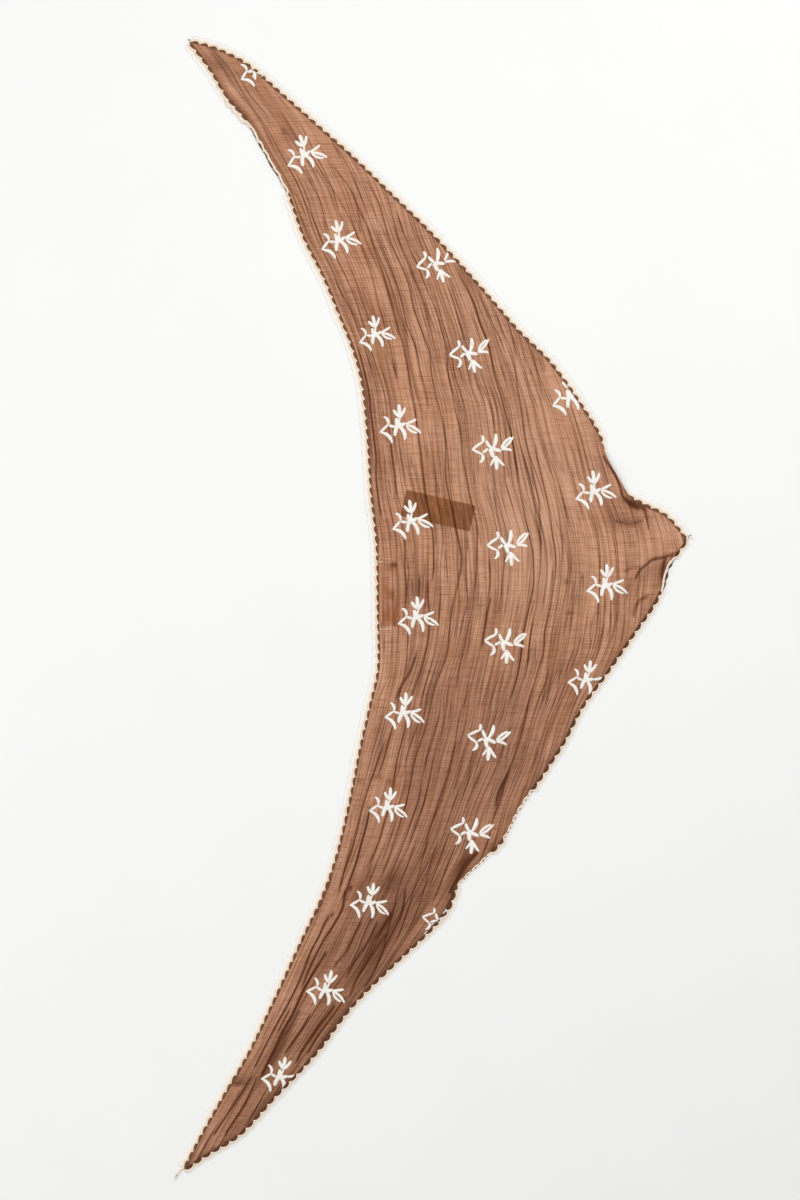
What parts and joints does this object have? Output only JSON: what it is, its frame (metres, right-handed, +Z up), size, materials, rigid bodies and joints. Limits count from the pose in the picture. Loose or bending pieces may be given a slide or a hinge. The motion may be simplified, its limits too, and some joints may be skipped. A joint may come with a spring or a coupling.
{
  "type": "bandana",
  "caption": "Long triangular bandana of crinkled cotton laid flat, with a scalloped hem, cream lace edging and small blank labels sewn underneath.",
  "frame": {"origin": "centre of the bounding box's bottom face, on the surface that the cloth lies on", "axes": "+Y along the long edge towards the upper tip, +X from the long edge towards the corner opposite it, +Z up out of the embroidered face"},
  "size_m": [0.4544, 1.0032, 0.0048],
  "materials": {
    "cloth": "thin crinkled cotton voile, matt, brown",
    "lace": "cream crocheted cotton thread",
    "label": "woven brown tape, blank"
  },
  "bodies": {
    "root": {"panel": "cloth", "lace_long": "lace", "lace_upper": "lace", "lace_corner": "lace", "lace_lower": "lace", "label_back": "label", "label_seam": "label"}
  },
  "joints": []
}
